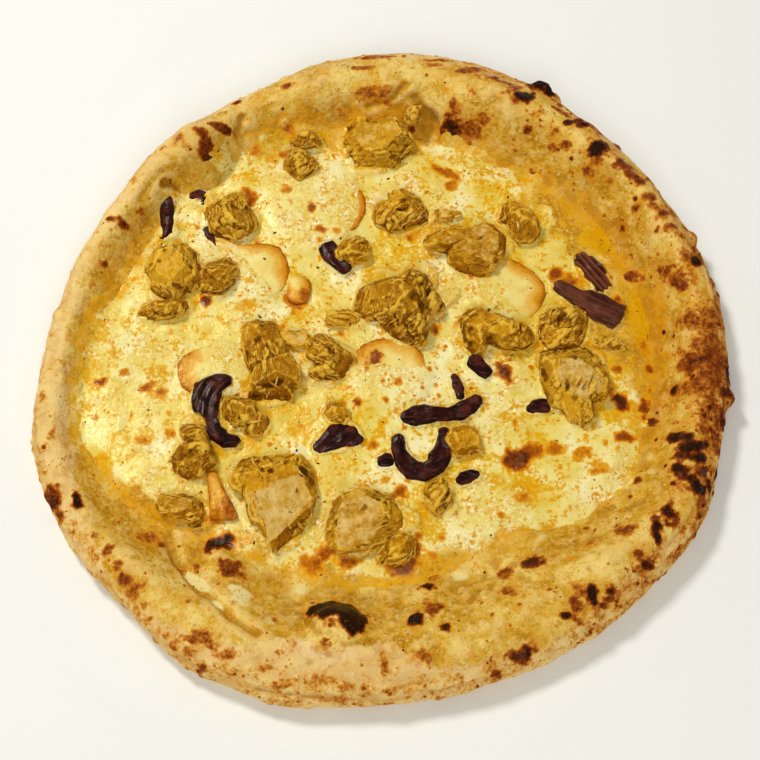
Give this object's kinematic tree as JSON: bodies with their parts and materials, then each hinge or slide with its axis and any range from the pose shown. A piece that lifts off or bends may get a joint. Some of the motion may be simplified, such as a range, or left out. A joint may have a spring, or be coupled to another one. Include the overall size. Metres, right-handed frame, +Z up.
{
  "type": "chicken pesto pizza",
  "caption": "Round wood-fired pizza with a puffed, charred rim, melted cheese, smoked cheese slices, chunks of pesto chicken and curls of red onion.",
  "frame": {"origin": "centre of the outline's bounding box, on the flat underside", "axes": "+Z up out of the toppings; -Y towards the side nearest the viewer; +X to the viewer's right"},
  "size_m": [0.3114, 0.3188, 0.0305],
  "materials": {
    "baked_dough": "baked bread, oily and golden inside, floury and pale outside, with brown and black char",
    "melted_cheese": "melted white cheese with pools of yellow oil and toasted spots",
    "smoked_cheese": "softened cheese slice with an orange-brown smoked rind",
    "chicken": "fibrous cooked meat coated in golden-green oil and herbs",
    "red_onion": "roasted dark purple, wet shine"
  },
  "bodies": {
    "root": {"cheese_melted": "melted_cheese", "chicken_by_petal": "chicken", "chicken_crown": "chicken", "chicken_cube": "chicken", "chicken_curl": "chicken", "chicken_flat_shred": "chicken", "chicken_front": "chicken", "chicken_front_small": "chicken", "chicken_heap": "chicken", "chicken_heart": "chicken", "chicken_left": "chicken", "chicken_left_nub": "chicken", "chicken_left_shreds": "chicken", "chicken_left_strip": "chicken", "chicken_low_left": "chicken", "chicken_middle_left": "chicken", "chicken_middle_right": "chicken", "chicken_over_knot": "chicken", "chicken_petals": "chicken", "chicken_right": "chicken", "chicken_rim_shred": "chicken", "chicken_round_right": "chicken", "chicken_shred_right": "chicken", "chicken_shred_top": "chicken", "chicken_small_left": "chicken", "chicken_sunk": "chicken", "chicken_top": "chicken", "chicken_top_bit": "chicken", "chicken_top_small": "chicken", "chicken_under_hook": "chicken", "chicken_upper_block": "chicken", "chicken_upper_right": "chicken", "crust": "baked_dough", "onion_chip_low": "red_onion", "onion_chip_middle": "red_onion", "onion_curl_left": "red_onion", "onion_far_left": "red_onion", "onion_hook": "red_onion", "onion_knot": "red_onion", "onion_long_right": "red_onion", "onion_nub_left": "red_onion", "onion_nub_middle": "red_onion", "onion_nub_right": "red_onion", "onion_petal_middle": "red_onion", "onion_ridged": "red_onion", "onion_sliver_left": "red_onion", "onion_tip": "red_onion", "onion_wave": "red_onion", "slice_far_left": "smoked_cheese", "slice_left": "smoked_cheese", "slice_low_right": "smoked_cheese", "slice_middle": "smoked_cheese", "slice_on_edge": "smoked_cheese", "slice_right": "smoked_cheese", "slice_top_left": "smoked_cheese", "slice_wedge": "smoked_cheese"}
  },
  "joints": []
}
